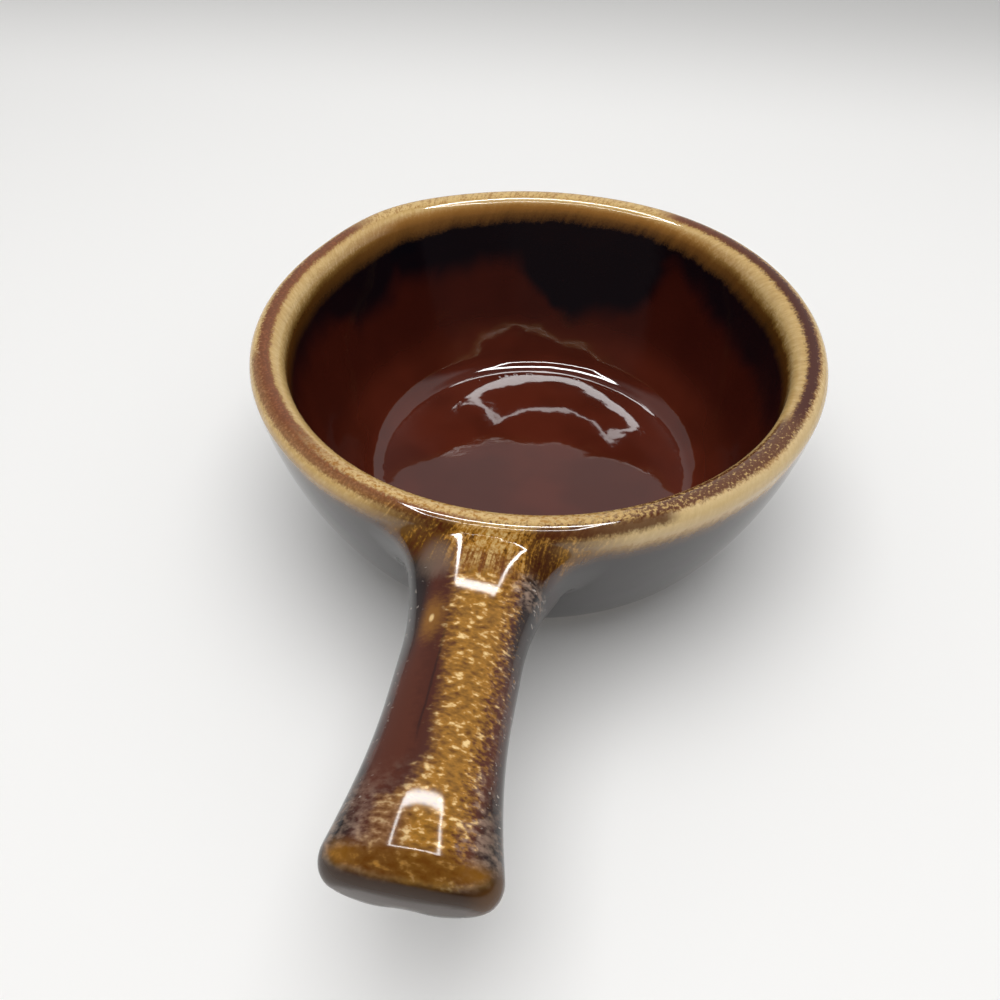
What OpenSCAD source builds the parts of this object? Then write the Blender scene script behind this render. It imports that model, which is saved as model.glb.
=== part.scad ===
// Stoneware soup bowl with one stick handle, glazed brown, with a tan glaze on its rim and handle.
// The origin is the centre of the foot ring on the table, +Z is up and the handle points along +X.

/* [Bowl] */
// Outside diameter of the glazed rim
rim_d = 133; // [120:1:150]
// Height of the rim's crest above the table
bowl_h = 52; // [47:1:60]
// Radius of the lip's outer roll
lip_out_r = 3.4; // [2.6:0.1:4.4]
// Radius of the lip's inner roll
lip_in_r = 4.6; // [3.6:0.1:5.6]
// Radius of curvature of the outer side
side_r = 100; // [85:1:140]
// Radius of the curve that turns under to the foot
turn_r = 22; // [17:0.5:26]
// Slope of the underside where it meets the foot ring, in degrees
turn_slope = 20; // [12:1:28]

/* [Inside] */
// Diameter of the flat floor
floor_d = 72; // [62:1:78]
// Thickness of the stoneware floor
floor_t = 5.4; // [4:0.1:7]
// Radius of the corner between the floor and the inner wall
corner_r = 6; // [4:0.5:9]
// Radius of curvature of the inner wall
inner_r = 95; // [80:1:140]

/* [Foot ring] */
// Outside diameter of the foot ring
foot_d = 88; // [80:1:94]
// Height of the foot ring
foot_h = 3.5; // [2.8:0.1:5]
// Width of the foot ring
foot_w = 5; // [4:0.1:7]
// Depth of the hollow inside the foot ring
foot_recess = 2.2; // [2:0.1:3]
// Radius of the foot ring's edges
foot_edge_r = 0.8; // [0.4:0.1:1]

/* [Handle] */
// Reach of the handle past the rim
handle_l = 63; // [50:1:75]
// Depth of the handle's top below the rim's crest
handle_drop = 5.4; // [4:0.1:9]
// Width of the handle at its waist
waist_w = 21.6; // [18:0.1:25]
// Thickness of the handle at its waist
waist_t = 14; // [11:0.1:17]
// Reach of the waist past the rim
waist_l = 30; // [24:1:36]
// Width of the handle at its end
end_w = 28.6; // [24:0.1:34]
// Thickness of the handle at its end
end_t = 15.5; // [12:0.1:18]
// Radius round the edge of the handle's end
end_r = 4.5; // [3:0.1:5.5]
// How deep the handle's root is bedded in the bowl's wall before the wall is cut out of it
root_bite = 5; // [3:0.1:5.5]
// How far the handle's sides spread at the bowl, each way
root_spread = 5; // [2:0.1:8]
// How far the handle's top rises at the bowl
root_rise = 3; // [1:0.1:3.8]
// How far the handle's underside drops at the bowl
root_fall = 5; // [2:0.1:8]
// Length over which the sides spread
spread_l = 20; // [12:1:22]
// Length over which the top rises and the underside drops
rise_l = 10; // [6:0.5:14]
// Squareness of the handle's section, where 2 is an oval
section_power = 2.5; // [2:0.1:3.5]
// Depth of the finger groove along the handle's underside
groove_d = 1; // [0.4:0.1:1.8]
// Width of the finger groove
groove_w = 12; // [9:0.5:14]

/* [Glaze] */
// Thickness of the glaze coat
glaze_t = 0.6; // [0.4:0.1:0.9]
// Thickness of the luting slip under the handle's root
slip_t = 0.5; // [0.3:0.1:0.8]
// How far the tan rim glaze runs down the outside
rim_run_out = 11; // [8:0.5:16]
// How far the tan rim glaze runs down the inside
rim_run_in = 9; // [7:0.5:14]
// Thickness of the tan streak on the handle
drip_t = 0.3; // [0.2:0.1:0.5]

/* [Hidden] */
$fn = 120;

// Colours of the fired clay and of the two glazes
clay_colour = [0.78, 0.68, 0.54];
slip_colour = [0.72, 0.62, 0.49];
brown_colour = [0.28, 0.1, 0.05];
black_brown_colour = [0.13, 0.08, 0.07];
tan_colour = [0.72, 0.55, 0.3];

// Number of straight steps in each arc of the bowl's section
lip_steps = 12;
side_steps = 14;
turn_steps = 8;
corner_steps = 8;
edge_steps = 4;

// Points of a section that lie closer together than this are one point
same_point = 0.0001;

function mix(a, b, t) = a + (b - a) * t;
function along(p, length, angle) = p + length * [cos(angle), sin(angle)];
function heading(p, q) = atan2(q[1] - p[1], q[0] - p[0]);

// Points on an arc about p, from angle a to angle b
function arc(p, r, a, b, steps) = [for (i = [0 : steps]) along(p, r, mix(a, b, i / steps))];

// A section's points without the repeats where two stretches join
function distinct(points) =
    [for (i = [0 : len(points) - 1]) if (i == 0 || norm(points[i] - points[i - 1]) > same_point) points[i]];

// Meeting point, on the left of the line from p to q, of two circles about p and q
function meet(p, rp, q, rq) =
    let (
        span = norm(q - p),
        reach = (rp * rp - rq * rq + span * span) / (2 * span),
        aside = sqrt(rp * rp - reach * reach),
        turn = heading(p, q)
    )
    along(along(p, reach, turn), aside, turn + 90);

// The bowl's section is drawn as [radius, height] and made of arcs that run smoothly into each other.
rim_r = rim_d / 2;
floor_z = foot_recess + floor_t + glaze_t;
crest_r = rim_r - lip_out_r;
lip_out_c = [crest_r, bowl_h - lip_out_r];
lip_in_c = [crest_r, bowl_h - lip_in_r];
turn_c = along([foot_d / 2, foot_h], turn_r, turn_slope + 90);
side_c = meet(turn_c, side_r - turn_r, lip_out_c, side_r - lip_out_r);
corner_c = [floor_d / 2, floor_z + corner_r];
inner_c = meet(corner_c, inner_r - corner_r, lip_in_c, inner_r + lip_in_r);

// Directions in which neighbouring arcs meet
foot_a = turn_slope - 90;
turn_a = heading(side_c, turn_c);
side_a = heading(side_c, lip_out_c);
crest_a = 90;
inner_a = heading(lip_in_c, inner_c);
wall_a = inner_a - 180;
corner_a = heading(inner_c, corner_c);
floor_a = -90;

// Where the tan glaze ends outside and inside, as directions from the centres of the two wall arcs
tan_out_a = asin((bowl_h - rim_run_out - side_c[1]) / side_r);
tan_in_a = asin((bowl_h - rim_run_in - inner_c[1]) / inner_r);

// Stretches of the glazed surface, set into the clay by depth
function turn_arc(depth) = arc(turn_c, turn_r - depth, foot_a, turn_a, turn_steps);
function side_arc(depth, a, b) = arc(side_c, side_r - depth, a, b, side_steps);
function lip_out_arc(depth) = arc(lip_out_c, lip_out_r - depth, side_a, crest_a, lip_steps);
function lip_in_arc(depth) = arc(lip_in_c, lip_in_r - depth, crest_a, inner_a, lip_steps);
function inner_arc(depth, a, b) = arc(inner_c, inner_r + depth, a, b, side_steps);
function corner_arc(depth) = arc(corner_c, corner_r + depth, corner_a, floor_a, corner_steps);

function outside(depth) = concat(
    turn_arc(depth), side_arc(depth, turn_a, side_a), lip_out_arc(depth));
function inside(depth) = concat(
    lip_in_arc(depth), inner_arc(depth, wall_a, corner_a), corner_arc(depth), [[0, floor_z - depth]]);

// Section of the foot ring, from the middle of the hollow out to the side
foot_out_r = turn_arc(glaze_t)[0][0];
foot_in_r = foot_out_r - foot_w;
foot_ring = concat(
    [[0, foot_recess]],
    arc([foot_in_r - foot_edge_r, foot_recess - foot_edge_r], foot_edge_r, 90, 0, edge_steps),
    arc([foot_in_r + foot_edge_r, foot_edge_r], foot_edge_r, 180, 270, edge_steps),
    arc([foot_out_r - foot_edge_r, foot_edge_r], foot_edge_r, -90, 0, edge_steps));

// Coat between the glazed surface and the clay, given the same stretch of both
module coat(surface, clay) {
    rotate_extrude()
        polygon(distinct(concat(surface, [for (i = [len(clay) - 1 : -1 : 0]) clay[i]])));
}

// The bowl filled up to its outer surface at the given depth, for cutting the handle's root
module filled_bowl(depth) {
    rotate_extrude()
        polygon(distinct(concat([[0, foot_h]], outside(depth), [[0, bowl_h - depth]])));
}

// The handle is a loft of ring sections along X.
handle_end = rim_r + handle_l;
cap_x = handle_end - end_r;
waist_x = rim_r + waist_l;
spread_end = rim_r + spread_l;
handle_top = bowl_h - handle_drop;
ring_points = 36;
root_rings = 12;
shaft_rings = 10;
cap_rings = 5;

// How much of a root fillet of the given length is left at x
function fillet(x, length) = pow(1 - min(max((x - rim_r) / length, 0), 1), 2);
// How far the handle has swollen from its waist to its end at x
function swell(x) = pow(max((x - waist_x) / (cap_x - waist_x), 0), 2);

function half_w(x) = mix(waist_w, end_w, swell(x)) / 2 + root_spread * fillet(x, spread_l);
function top_z(x) = handle_top + root_rise * fillet(x, rise_l);
function low_z(x) = handle_top - mix(waist_t, end_t, swell(x)) - root_fall * fillet(x, rise_l);

function power_of(v) = sign(v) * pow(abs(v), 2 / section_power);
function groove(y) = abs(y) < groove_w / 2 ? groove_d * pow(cos(180 * y / groove_w), 2) : 0;

// Radius of the bowl's side at height z
function side_x(z) = side_c[0] + sqrt(side_r * side_r - pow(z - side_c[1], 2));

// The handle's section at x as [y, z] points, drawn in by shrink all round
function section(x, shrink) =
    let (
        w = half_w(x) - shrink,
        h = (top_z(x) - low_z(x)) / 2 - shrink,
        z = (top_z(x) + low_z(x)) / 2
    )
    [for (i = [0 : ring_points - 1])
        let (
            a = 360 * i / ring_points,
            y = w * power_of(cos(a)),
            lift = sin(a) < 0 ? groove(y) : 0
        )
        [y, z + h * power_of(sin(a)) + lift]];

// Rings of the whole handle, set in by depth: the root's rings lean with the bowl's side
function root_ring_list(depth) =
    [for (i = [0 : root_rings - 1])
        let (t = i / root_rings)
        [for (p = section(mix(rim_r - root_bite, spread_end, t), depth))
            [mix(side_x(p[1]) - root_bite, spread_end, t), p[0], p[1]]]];
function shaft_ring_list(depth) =
    [for (i = [0 : shaft_rings])
        let (x = mix(spread_end, cap_x, i / shaft_rings))
        [for (p = section(x, depth)) [x, p[0], p[1]]]];
function cap_ring_list(depth) =
    [for (i = [1 : cap_rings])
        let (a = 90 * i / cap_rings, r = end_r - depth)
        [for (p = section(cap_x, depth + r * (1 - cos(a)))) [cap_x + r * sin(a), p[0], p[1]]]];
function handle_rings(depth) = concat(root_ring_list(depth), shaft_ring_list(depth), cap_ring_list(depth));

// Solid loft through rings of equal count
module loft(rings) {
    count = len(rings[0]);
    last = len(rings) - 1;
    sides = [for (r = [0 : last - 1], i = [0 : count - 1], half = [0, 1])
        let (a = r * count + i, b = r * count + (i + 1) % count)
        half == 0 ? [a, b + count, b] : [a, a + count, b + count]];
    start = [[for (i = [0 : count - 1]) i]];
    finish = [[for (i = [count - 1 : -1 : 0]) last * count + i]];
    polyhedron([for (r = rings, p = r) p], concat(sides, start, finish));
}

// Rings of the loft that the tan streak covers, and the points of each ring that it lies on
drip_root_rings = 5;
drip_cap_rings = 2;
drip_first = root_rings - drip_root_rings;
drip_last = root_rings + shaft_rings + drip_cap_rings;
drip_from = 4;
drip_to = 10;

// One closed slice of the streak, over its own surface and back along the glaze under it
function drip_ring(lower, upper) = concat(
    [for (i = [drip_from : drip_to]) upper[i]],
    [for (i = [drip_to : -1 : drip_from]) lower[i]]);

module bowl_body() {
    color(clay_colour)
        rotate_extrude()
            polygon(distinct(concat(foot_ring, outside(glaze_t), inside(glaze_t))));
}

module handle() {
    color(clay_colour)
        difference() {
            loft(handle_rings(glaze_t));
            filled_bowl(glaze_t - slip_t);
        }
}

module handle_slip() {
    color(slip_colour)
        difference() {
            intersection() {
                loft(handle_rings(glaze_t));
                filled_bowl(glaze_t - slip_t);
            }
            filled_bowl(glaze_t);
        }
}

module liner_glaze() {
    color(brown_colour)
        coat(
            concat(inner_arc(0, tan_in_a, corner_a), corner_arc(0), [[0, floor_z]]),
            concat(inner_arc(glaze_t, tan_in_a, corner_a), corner_arc(glaze_t), [[0, floor_z - glaze_t]]));
}

module outer_glaze() {
    color(black_brown_colour)
        difference() {
            coat(
                concat(turn_arc(0), side_arc(0, turn_a, tan_out_a)),
                concat(turn_arc(glaze_t), side_arc(glaze_t, turn_a, tan_out_a)));
            loft(handle_rings(0));
        }
}

module base_glaze() {
    color(brown_colour)
        translate([0, 0, foot_recess - glaze_t])
            cylinder(h = glaze_t, r = foot_in_r - foot_edge_r - glaze_t);
}

module rim_glaze() {
    color(tan_colour)
        difference() {
            coat(
                concat(side_arc(0, tan_out_a, side_a), lip_out_arc(0), lip_in_arc(0),
                    inner_arc(0, wall_a, tan_in_a)),
                concat(side_arc(glaze_t, tan_out_a, side_a), lip_out_arc(glaze_t), lip_in_arc(glaze_t),
                    inner_arc(glaze_t, wall_a, tan_in_a)));
            loft(handle_rings(0));
        }
}

module handle_glaze() {
    color(black_brown_colour)
        difference() {
            loft(handle_rings(0));
            loft(handle_rings(glaze_t));
            filled_bowl(glaze_t);
        }
}

module handle_drip() {
    lower = handle_rings(0);
    upper = handle_rings(-drip_t);
    color(tan_colour)
        loft([for (r = [drip_first : drip_last]) drip_ring(lower[r], upper[r])]);
}

bowl_body();
handle();
handle_slip();
liner_glaze();
outer_glaze();
base_glaze();
rim_glaze();
handle_glaze();
handle_drip();
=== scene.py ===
"""Looks of a stick-handled stoneware soup bowl with a brown glaze and a tan rim, laid out as an add-on."""

import math
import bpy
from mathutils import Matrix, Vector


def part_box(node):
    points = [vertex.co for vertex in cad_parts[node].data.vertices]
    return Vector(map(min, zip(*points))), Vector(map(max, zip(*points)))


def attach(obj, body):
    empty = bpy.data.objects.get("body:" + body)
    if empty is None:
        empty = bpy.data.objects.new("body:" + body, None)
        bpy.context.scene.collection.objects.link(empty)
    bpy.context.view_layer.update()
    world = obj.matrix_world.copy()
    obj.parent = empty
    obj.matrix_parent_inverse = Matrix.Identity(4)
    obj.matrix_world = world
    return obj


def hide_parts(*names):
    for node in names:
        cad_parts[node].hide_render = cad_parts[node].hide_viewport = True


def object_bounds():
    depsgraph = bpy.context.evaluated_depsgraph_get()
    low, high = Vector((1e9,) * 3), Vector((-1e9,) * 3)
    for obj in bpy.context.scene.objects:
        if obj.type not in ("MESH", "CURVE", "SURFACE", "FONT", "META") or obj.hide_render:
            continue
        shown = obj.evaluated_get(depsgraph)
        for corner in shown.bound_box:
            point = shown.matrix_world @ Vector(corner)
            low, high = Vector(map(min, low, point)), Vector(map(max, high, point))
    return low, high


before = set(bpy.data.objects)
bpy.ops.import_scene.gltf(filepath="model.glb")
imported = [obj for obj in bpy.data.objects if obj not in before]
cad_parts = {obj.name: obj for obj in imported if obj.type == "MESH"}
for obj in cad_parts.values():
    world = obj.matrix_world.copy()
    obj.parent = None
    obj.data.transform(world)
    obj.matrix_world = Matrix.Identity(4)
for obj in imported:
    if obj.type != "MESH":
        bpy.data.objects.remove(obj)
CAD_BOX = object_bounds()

from types import SimpleNamespace

import bmesh
import bpy
import numpy as np
from bpy.props import FloatProperty, FloatVectorProperty, IntProperty, PointerProperty
from bpy.types import Operator, Panel, PropertyGroup
from mathutils import Matrix, Vector

bl_info = {
    "name": "Stick-handled soup bowl",
    "version": (1, 0, 0),
    "blender": (4, 5, 0),
    "location": "View3D > Sidebar > Soup Bowl",
    "description": "Builds a glazed stoneware soup bowl with a stick handle around its packed solids",
    "category": "Add Mesh",
}

MM = 0.001
BODY = "root"


def size(name, text, default):
    """A length that a user may change, in metres."""
    return FloatProperty(name=name, description=text, default=default, unit="LENGTH", precision=4)


def angle(name, text, degrees):
    """An angle that a user may change."""
    return FloatProperty(name=name, description=text, default=math.radians(degrees), subtype="ANGLE")


def share(name, text, default):
    """A plain number that a user may change."""
    return FloatProperty(name=name, description=text, default=default, precision=3)


def colour(name, text, default):
    """A linear colour that a user may change."""
    return FloatVectorProperty(name=name, description=text, default=default, subtype="COLOR", size=3,
                               min=0.0, max=1.0)


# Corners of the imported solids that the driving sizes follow
LOW, HIGH = CAD_BOX
BASE_LOW, BASE_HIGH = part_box("base_glaze")
LINER_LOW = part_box("liner_glaze")[0]


class BowlShape(PropertyGroup):
    """Sizes of the bowl's section, which is made of arcs that run smoothly into each other."""

    rim_r: size("Rim radius", "Outer radius of the glazed rim", HIGH.y)
    height: size("Height", "Height of the rim's crest above the table", HIGH.z)
    lip_out_r: size("Outer lip roll", "Radius of the lip's outer roll", 3.4 * MM)
    lip_in_r: size("Inner lip roll", "Radius of the lip's inner roll", 4.6 * MM)
    side_r: size("Side curve", "Radius of curvature of the outer side", 100 * MM)
    turn_r: size("Turn", "Radius of the curve that turns under to the foot", 22 * MM)
    turn_slope: angle("Turn slope", "Slope of the underside where it meets the foot ring", 20)
    floor_r: size("Floor radius", "Radius of the floor inside", 39.2 * MM)
    floor_z: size("Floor height", "Height of the glazed floor's edge above the table", LINER_LOW.z - 1.6 * MM)
    dome: size("Floor dome", "Rise of the floor from its edge to its middle", 1.0 * MM)
    corner_r: size("Floor corner", "Radius of the corner between the floor and the wall", 7.5 * MM)
    inner_r: size("Wall curve", "Radius of curvature of the inner wall", 95 * MM)
    foot_r: size("Foot radius", "Radius at which the side meets the foot ring", 44 * MM)
    foot_h: size("Foot height", "Height of the foot ring", 3.5 * MM)
    foot_w: size("Foot width", "Width of the foot ring", 5 * MM)
    foot_edge_r: size("Foot edge", "Radius of the foot ring's edges", 0.8 * MM)
    recess: size("Foot hollow", "Depth of the hollow inside the foot ring", BASE_HIGH.z)
    flat: size("Flat", "How far the rim is flattened opposite the handle", 1.2 * MM)
    flat_turn: angle("Flat turn", "Direction of the flattened stretch from the handle", 176)
    flat_half: angle("Flat width", "Half the width of the flattened stretch", 24)
    bulge: size("Bulge", "How far the rim bulges beside the flattened stretch", 2.2 * MM)
    bulge_turn: angle("Bulge turn", "Direction of the bulge from the handle", 226)
    bulge_half: angle("Bulge width", "Half the width of the bulge", 16)
    glaze_t: size("Glaze", "Thickness of the glaze coat", BASE_HIGH.z - BASE_LOW.z)


class HandleShape(PropertyGroup):
    """Sizes of the stick handle, which swells to its end and flares at its root."""

    end_x: size("End", "Distance of the handle's end from the bowl's axis", HIGH.x)
    drop: size("Drop", "Depth of the handle's top below the rim's crest", 5.4 * MM)
    waist_w: size("Waist width", "Width of the handle at its waist", 22.3 * MM)
    waist_t: size("Waist thickness", "Thickness of the handle at its waist", 14 * MM)
    waist_l: size("Waist reach", "Reach of the waist past the rim", 30 * MM)
    end_w: size("End width", "Width of the handle at its end", 29.8 * MM)
    end_t: size("End thickness", "Thickness of the handle at its end", 15.5 * MM)
    end_r: size("End edge", "Radius round the edge of the handle's end", 5 * MM)
    end_curve: size("End curve", "Radius of curvature of the handle's end face", 70 * MM)
    dome_l: size("Dome length", "Length at the end over which the top curves down", 16.5 * MM)
    dome_r: size("Dome curve", "Radius of curvature of the top at the end", 50 * MM)
    bite: size("Root depth", "How deep the root reaches into the wall", 4 * MM)
    spread: size("Root spread", "How far the handle's sides spread at the bowl, each way", 4 * MM)
    spread_l: size("Spread length", "Length over which the sides spread", 20 * MM)
    saddle: angle("Saddle slope", "Slope of the handle's top where it climbs to the rim", 23)
    saddle_l: size("Saddle reach", "Distance past the rim at which the top levels out", 9 * MM)
    saddle_bow: size("Saddle bow", "How much sooner the top levels out at its sides", 2 * MM)
    saddle_w: size("Saddle width", "Half the width of the middle that levels out late", 6 * MM)
    saddle_soft: size("Saddle softness", "Softness of the bend where the top levels out", 2.8 * MM)
    fall: size("Root fall", "How far the handle's underside drops at the bowl", 2 * MM)
    fall_l: size("Fall length", "Length over which the underside drops", 20 * MM)
    aside: size("Aside", "How far the handle sits to one side of the bowl's middle", 0.4 * MM)
    belly: share("Belly", "Height of the section's widest level, as a share of its thickness", 0.44)
    power: share("Squareness", "Squareness of the section, where 2 is an oval", 2.0)
    root_power: share("Root squareness", "Squareness of the section at the bowl", 4.2)
    groove_d: size("Groove depth", "Depth of the finger groove along the underside", 1 * MM)
    groove_w: size("Groove width", "Width of the finger groove", 12 * MM)
    blend: size("Fillet", "Softness of the join between the handle and the bowl", 7 * MM)
    low_blend: share("Low fillet", "Share of the fillet that is left on the underside", 0.3)


class GlazeLook(PropertyGroup):
    """Colours and gloss of the two glazes and of the bare clay."""

    liner: colour("Brown", "Deep red-brown glaze inside the bowl", (0.100, 0.017, 0.008))
    dusk: colour("Dusk", "Dark red-brown glaze below the rim", (0.028, 0.004, 0.003))
    shade: colour("Dark", "Near-black glaze where the coat is thick", (0.004, 0.003, 0.005))
    outside: colour("Outside", "Black-brown glaze outside", (0.010, 0.006, 0.006))
    grip: colour("Handle", "Milky red-brown glaze along the handle", (0.088, 0.021, 0.010))
    crest: colour("Crest", "Brown glaze on the rim's crest", (0.160, 0.050, 0.016))
    crest_dark: colour("Crest, dark", "Brown glaze on the crest's darker side", (0.065, 0.012, 0.004))
    crest_speck: colour("Crest, specked", "Brown glaze between the crest's specks", (0.125, 0.045, 0.018))
    tan_dark: colour("Tan, dark", "Dark streaks of the tan glaze", (0.340, 0.165, 0.040))
    tan: colour("Tan", "Middle tone of the tan glaze", (0.540, 0.345, 0.125))
    tan_light: colour("Tan, light", "Light tone of the tan glaze", (0.660, 0.455, 0.190))
    tan_pale: colour("Tan, pale", "Palest streaks of the tan glaze", (0.800, 0.610, 0.330))
    olive: colour("Olive", "Tan glaze that thins out over brown", (0.300, 0.168, 0.042))
    amber: colour("Amber", "Thin tan glaze over brown", (0.110, 0.044, 0.007))
    honey: colour("Honey", "Thin tan glaze inside the far rim", (0.330, 0.145, 0.034))
    gold: colour("Gold", "Golden glaze along the handle", (0.390, 0.175, 0.022))
    gold_light: colour("Gold, light", "Pale flecks in the golden glaze", (0.860, 0.600, 0.270))
    gold_dark: colour("Gold, dark", "Brown gaps in the golden glaze", (0.130, 0.044, 0.005))
    end_gold: colour("End", "Amber glaze over the handle's end", (0.150, 0.060, 0.009))
    # This colour, dimmed, also paints a reflection on the handle's left shoulder
    fleck_and_sheen: colour("Fleck", "Pale dashes on the handle's dark sides", (0.480, 0.330, 0.240))
    mote: colour("Mote", "Pale dots on the handle's dark sides", (0.540, 0.470, 0.410))
    clay: colour("Clay", "Bare fired clay of the foot", (0.560, 0.430, 0.290))
    roughness: share("Roughness", "Roughness of the glaze's gloss", 0.045)
    wear: share("Handle roughness", "Roughness that is added on the handle", 0.045)


class StudioLook(PropertyGroup):
    """The floor, the lamps and the camera."""

    floor_r: size("Floor radius", "Radius of the pale floor", 3.0)
    backdrop: colour("Backdrop", "Colour of the even backdrop behind the floor", (0.880, 0.875, 0.865))
    floor_tone: colour("Floor", "Colour of the pale floor", (0.930, 0.922, 0.908))
    # Painted shade: share of the floor's tone that is left far behind the bowl
    far_floor_shade: share("Far floor", "Share of the floor's tone that is left far behind the bowl", 0.66)
    sky: share("Sky", "Strength of the soft light all round", 0.62)
    seen: share("Seen sky", "Strength of the sky where the glaze mirrors it", 0.68)
    dim: share("Dim side", "Strength of the mirrored sky behind the camera", 0.02)
    roof: share("Dim roof", "Share of the mirrored sky that is left overhead", 0.2)
    gloom: share("Gloom", "Share of the mirrored sky that is left on the camera's left", 0.7)
    panel_power: FloatProperty(name="Panel", description="Power of the soft overhead panel", default=3.9,
                               unit="POWER")
    panel_w: size("Panel width", "Width of the soft overhead panel", 0.7)
    panel_x: size("Panel place", "Place of the panel's middle along the handle", 0.05)
    panel_z: size("Panel height", "Height of the panel above the table", 0.75)
    lamp_glow: share("Lamp", "Radiance of the bright lamp frame", 30.0)
    lamp_x: size("Lamp along", "Place of the lamp frame's middle along the handle", 0.055)
    lamp_y: size("Lamp across", "Place of the lamp frame's middle across the handle", -0.055)
    lamp_z: size("Lamp height", "Height of the lamp frame above the table", 0.65)
    lamp_l: size("Lamp length", "Length of the lamp frame along the handle", 0.26)
    lamp_w: size("Lamp width", "Width of the lamp frame across the handle", 0.38)
    lamp_bar: size("Lamp bars", "Width of the frame's side bars", 0.019)
    lamp_front: size("Lamp front", "Width of the frame's near bar", 0.022)
    lamp_block: size("Lamp block", "Width of the frame's far bar", 0.07)
    lens: FloatProperty(name="Lens", description="Focal length of the camera", default=33.876, unit="CAMERA")
    pitch: angle("Pitch", "How far the camera looks down", 45.85)
    turn: angle("Turn", "How far the camera stands to the side of the handle", 10.2)
    distance: size("Distance", "Distance of the camera from the lip's centre plane", 221.26 * MM)
    aside: size("Aside", "Shift of the camera to its right", -8.716 * MM)
    lift: size("Lift", "Shift of the camera upwards", -38.61 * MM)


class SoupBowl(PropertyGroup):
    """Everything that a user would change."""

    bowl: PointerProperty(type=BowlShape)
    handle: PointerProperty(type=HandleShape)
    glaze: PointerProperty(type=GlazeLook)
    studio: PointerProperty(type=StudioLook)
    mesh_step: size("Mesh step", "Edge length of the glazed surface's mesh", 0.9 * MM)
    relax_rounds: IntProperty(name="Relax rounds", description="Rounds that even out the mesh",
                              default=8, min=1)


# Small helpers for the section's arcs


def polar(centre, radius, turn):
    """Point at a distance and a direction from another."""
    return (centre[0] + radius * math.cos(turn), centre[1] + radius * math.sin(turn))


def heading(start, end):
    """Direction from one point to another."""
    return math.atan2(end[1] - start[1], end[0] - start[0])


def meet(p, rp, q, rq):
    """Meeting point, on the left of the line from p to q, of two circles about p and q."""
    span = math.dist(p, q)
    reach = (rp * rp - rq * rq + span * span) / (2 * span)
    turn = heading(p, q)
    return polar(polar(p, reach, turn), math.sqrt(rp * rp - reach * reach), turn + math.pi / 2)


def smooth(value, low, high):
    """Smooth step from 0 at low to 1 at high, which may lie the other way round."""
    t = np.clip((value - low) / (high - low), 0, 1)
    return t * t * (3 - 2 * t)


def soft_min(a, b, width):
    """Smaller of two distances, rounded where they are within a width of each other."""
    near = np.clip(width - np.abs(a - b), 0, None)
    return np.minimum(a, b) - near * near / (4 * np.maximum(width, 1e-9))


class Section:
    """The bowl's glazed section as (radius, height) arcs, with the run along it from the rim's crest."""

    def __init__(self, bowl):
        quarter = math.pi / 2
        crest_r = bowl.rim_r - bowl.lip_out_r
        lip_out = (crest_r, bowl.height - bowl.lip_out_r)
        lip_in = (crest_r, bowl.height - bowl.lip_in_r)
        turn = polar((bowl.foot_r, bowl.foot_h), bowl.turn_r, bowl.turn_slope + quarter)
        side = meet(turn, bowl.side_r - bowl.turn_r, lip_out, bowl.side_r - bowl.lip_out_r)
        corner = (bowl.floor_r, bowl.floor_z + bowl.corner_r)
        wall = meet(corner, bowl.inner_r - bowl.corner_r, lip_in, bowl.inner_r + bowl.lip_in_r)
        lip_a, corner_a = heading(lip_in, wall), heading(wall, corner)
        side_a, turn_a = heading(side, lip_out), heading(side, turn)
        self.side, self.side_r = side, bowl.side_r
        self.floor_r, self.floor_z = bowl.floor_r, bowl.floor_z
        self.under_r, self.under_z = turn[0], turn[1] - bowl.turn_r
        # Arcs as (centre, radius, from, to, +1 where the clay is inside the circle)
        outside = [(lip_out, bowl.lip_out_r, quarter, side_a, 1),
                   (side, bowl.side_r, side_a, turn_a, 1),
                   (turn, bowl.turn_r, turn_a, -quarter, 1)]
        inside = [(lip_in, bowl.lip_in_r, quarter, lip_a, 1),
                  (wall, bowl.inner_r, lip_a - math.pi, corner_a, -1),
                  (corner, bowl.corner_r, corner_a, -quarter, -1)]
        self.arcs = []
        for way, stretch in ((1, outside), (-1, inside)):
            run = 0.0
            for centre, radius, start, stop, convex in stretch:
                self.arcs.append((centre, radius, start, stop, convex, run, way))
                run += way * radius * abs(stop - start)
        self.inside_run = run

    def measure(self, r, z):
        """Signed distance from the glazed section, and the run along it from the crest, + outside."""
        best = np.full(r.shape, np.inf)
        gap = np.zeros_like(r)
        run = np.zeros_like(r)

        def keep(away, signed, where):
            closer = away < best
            best[closer] = away[closer]
            gap[closer] = signed[closer]
            run[closer] = where[closer]

        for centre, radius, start, stop, convex, begin, way in self.arcs:
            dr, dz = r - centre[0], z - centre[1]
            middle, half = (start + stop) / 2, abs(stop - start) / 2
            turn = np.arctan2(dz, dr) - middle
            turn = (turn + math.pi) % (2 * math.pi) - math.pi
            held = middle + np.clip(turn, -half, half)
            away = np.hypot(dr - radius * np.cos(held), dz - radius * np.sin(held))
            keep(away, np.copysign(away, convex * (np.hypot(dr, dz) - radius)),
                 begin + way * radius * np.abs(held - start))
        for edge, level, up, begin in ((self.floor_r, self.floor_z, 1, self.inside_run),
                                       (self.under_r, self.under_z, -1, -self.inside_run)):
            near = np.minimum(r, edge)
            away = np.hypot(r - near, z - level)
            keep(away, np.copysign(away, up * (z - level)), begin - up * (edge - near))
        return gap, run


# Softness of the joins in the glazed surface
DOME_SOFT, FOOT_SOFT = 0.6 * MM, 0.8 * MM
# How the floor's dome falls to its edge, as a share of its rise, and how deep it is sunk
DOME_FALL, DOME_SUNK = 1.25, 1 * MM
# The root's fillet fades in from this deep inside the side
FILLET_SUNK = 2.4 * MM
# It fades in between these depths below the crest
FILLET_NONE, FILLET_FULL = 1 * MM, 7 * MM
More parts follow.
